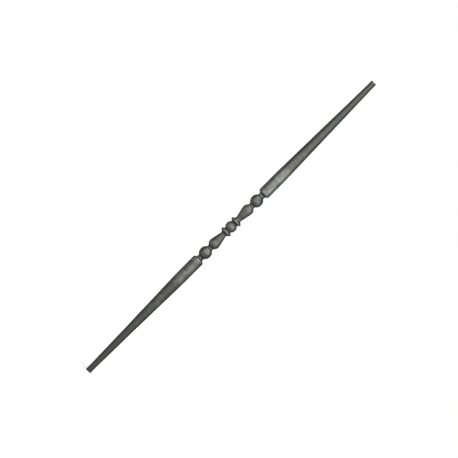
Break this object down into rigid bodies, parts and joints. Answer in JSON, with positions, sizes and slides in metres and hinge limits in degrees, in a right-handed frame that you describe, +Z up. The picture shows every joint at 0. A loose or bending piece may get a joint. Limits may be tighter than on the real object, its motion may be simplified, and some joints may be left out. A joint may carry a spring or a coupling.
{
  "type": "wrought iron baluster",
  "caption": "Solid forged iron baluster: long tapered round shafts with plain round ends, and a turned middle of ball, collar and pear forms, for stair and balcony railings.",
  "frame": {"origin": "middle of the foot end's flat face", "axes": "+Z up along the bar's axis, from the foot end to the head end; +X and +Y are free, because the bar is round"},
  "size_m": [0.0314, 0.0312, 1],
  "materials": {
    "forged_iron": "satin"
  },
  "bodies": {
    "root": {"baluster": "forged_iron"}
  },
  "joints": []
}
